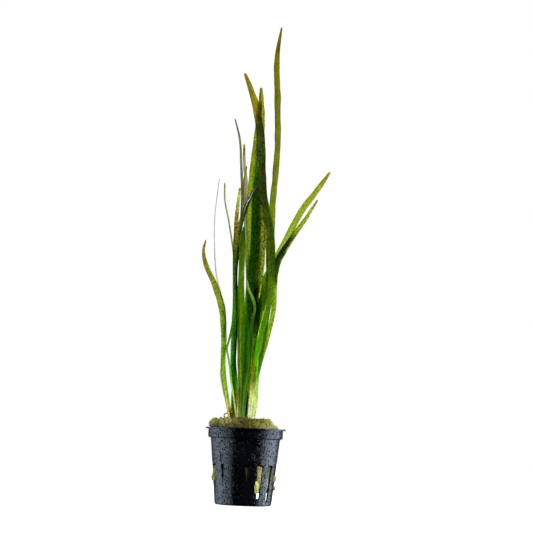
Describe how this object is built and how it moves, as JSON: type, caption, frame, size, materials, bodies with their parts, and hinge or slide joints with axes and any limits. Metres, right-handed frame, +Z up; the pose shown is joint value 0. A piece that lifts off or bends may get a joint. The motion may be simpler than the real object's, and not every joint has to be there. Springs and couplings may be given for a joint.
{
  "type": "potted aquarium plant",
  "caption": "Tiger vallisneria, an aquarium plant with long spotted strap leaves, standing in a black net pot with a plug of rock wool.",
  "frame": {"origin": "centre of the pot's underside, on the plane that it stands on", "axes": "+Z up along the plant; the picture looks along +Y, with +X to its right"},
  "size_m": [0.0828, 0.052, 0.3201],
  "materials": {
    "pot": "satin",
    "wool": "matte",
    "leaf_green": "satin",
    "leaf_dark_green": "satin",
    "leaf_pale_green": "satin",
    "leaf_olive": "satin",
    "leaf_brown": "satin",
    "leaf_grey_green": "satin"
  },
  "bodies": {
    "root": {"pot": "pot", "rock_wool": "wool", "tall_leaf": "leaf_olive", "spotted_leaf": "leaf_olive", "broad_leaf": "leaf_pale_green", "back_leaf": "leaf_olive", "far_leaf": "leaf_dark_green", "front_leaf": "leaf_dark_green", "right_leaf": "leaf_pale_green", "lower_right_leaf": "leaf_green", "short_dark_leaf": "leaf_brown", "short_green_leaf": "leaf_dark_green", "curly_leaf": "leaf_grey_green", "light_green_leaf": "leaf_pale_green", "tan_leaf": "leaf_grey_green", "rimmed_leaf": "leaf_brown", "dark_leaf": "leaf_dark_green", "brown_leaf": "leaf_brown", "slender_leaf": "leaf_grey_green", "olive_thread_leaf": "leaf_olive", "grey_thread_leaf": "leaf_grey_green", "bent_leaf": "leaf_green", "left_leaf": "leaf_olive", "dead_stub": "leaf_brown", "pale_stub": "leaf_pale_green", "curled_scrap": "leaf_olive"}
  },
  "joints": []
}
